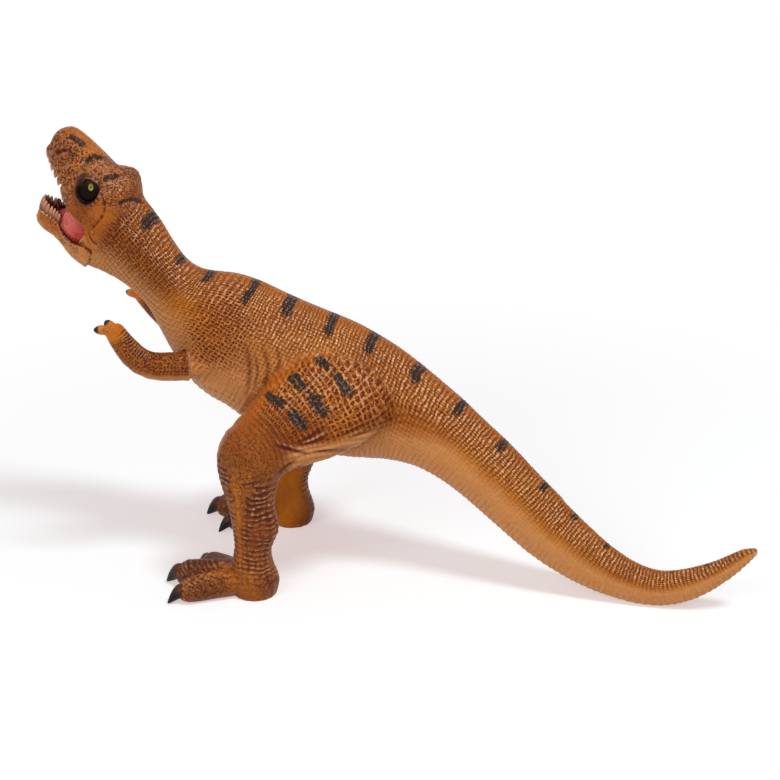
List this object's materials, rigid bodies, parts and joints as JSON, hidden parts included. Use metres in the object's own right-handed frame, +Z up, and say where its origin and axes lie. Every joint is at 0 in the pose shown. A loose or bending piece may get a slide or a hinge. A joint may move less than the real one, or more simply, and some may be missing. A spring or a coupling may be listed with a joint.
{
  "type": "toy dinosaur figure",
  "caption": "Toy theropod dinosaur in soft plastic, standing on its feet and tail with its mouth open; the lower jaw swings and the arms turn.",
  "frame": {"origin": "on the surface that the figure stands on, under the middle of its bounding box", "axes": "+X from the head to the tip of the tail, +Y to the animal's right, +Z up"},
  "size_m": [0.3183, 0.111, 0.196],
  "materials": {
    "ochre_skin": "painted soft PVC with a satin sheen",
    "mouth_pink": "satin",
    "tongue_red": "satin",
    "eye_brown": "gloss",
    "pin_steel": "plain"
  },
  "bodies": {
    "figure": {"torso": "ochre_skin", "tail": "ochre_skin", "left_leg": "ochre_skin", "right_leg": "ochre_skin", "head": "ochre_skin", "left_eye": "eye_brown", "right_eye": "eye_brown", "jaw_pin": "pin_steel"},
    "jaw": {"lower_jaw": "ochre_skin", "mouth_insert": "mouth_pink", "tongue": "tongue_red"},
    "arm_left": {"left_arm": "ochre_skin"},
    "arm_right": {"right_arm": "ochre_skin"}
  },
  "joints": [
    {"name": "jaw_hinge", "type": "hinge", "parent": "figure", "child": "jaw", "pos_m": [-0.13127, 0, 0.15039], "axis": [0, 1, 0], "range_deg": [0, 34]},
    {"name": "left_shoulder", "type": "hinge", "parent": "figure", "child": "arm_left", "pos_m": [-0.0888, -0.0195, 0.0975], "axis": [0.9299, 0.365, -0.045], "continuous": true},
    {"name": "right_shoulder", "type": "hinge", "parent": "figure", "child": "arm_right", "pos_m": [-0.0888, 0.0195, 0.0975], "axis": [-0.9299, 0.365, 0.045], "continuous": true}
  ]
}
